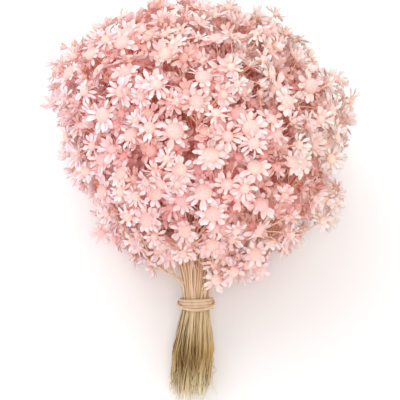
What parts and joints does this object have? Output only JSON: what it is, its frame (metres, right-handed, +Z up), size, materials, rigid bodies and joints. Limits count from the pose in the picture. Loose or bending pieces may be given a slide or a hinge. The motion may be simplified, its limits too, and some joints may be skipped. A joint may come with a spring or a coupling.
{
  "type": "dried star everlasting bunch",
  "caption": "Tied bunch of dried star everlastings with a dense round head of pale pink papery blooms on thin cut stalks, lying on its side.",
  "frame": {"origin": "under the middle of the bunch's bounding box, on the surface that the bunch lies on", "axes": "+Z up, +Y from the cut ends towards the crown of the head, +X to the right as seen from the cut ends"},
  "size_m": [0.1994, 0.2526, 0.172],
  "materials": {
    "everlasting": "matte",
    "rubber_band": "matte"
  },
  "bodies": {
    "root": {"spray_00": "everlasting", "spray_01": "everlasting", "spray_02": "everlasting", "spray_03": "everlasting", "spray_04": "everlasting", "spray_05": "everlasting", "spray_06": "everlasting", "spray_07": "everlasting", "spray_08": "everlasting", "spray_09": "everlasting", "spray_10": "everlasting", "spray_11": "everlasting", "spray_12": "everlasting", "spray_13": "everlasting", "spray_14": "everlasting", "spray_15": "everlasting", "spray_16": "everlasting", "spray_17": "everlasting", "spray_18": "everlasting", "spray_19": "everlasting", "spray_20": "everlasting", "spray_21": "everlasting", "spray_22": "everlasting", "spray_23": "everlasting", "spray_24": "everlasting", "spray_25": "everlasting", "spray_26": "everlasting", "spray_27": "everlasting", "spray_28": "everlasting", "spray_29": "everlasting", "spray_30": "everlasting", "spray_31": "everlasting", "spray_32": "everlasting", "spray_33": "everlasting", "spray_34": "everlasting", "spray_35": "everlasting", "spray_36": "everlasting", "spray_37": "everlasting", "spray_38": "everlasting", "spray_39": "everlasting", "spray_40": "everlasting", "spray_41": "everlasting", "spray_42": "everlasting", "spray_43": "everlasting", "spray_44": "everlasting", "spray_45": "everlasting", "tie": "rubber_band"}
  },
  "joints": []
}
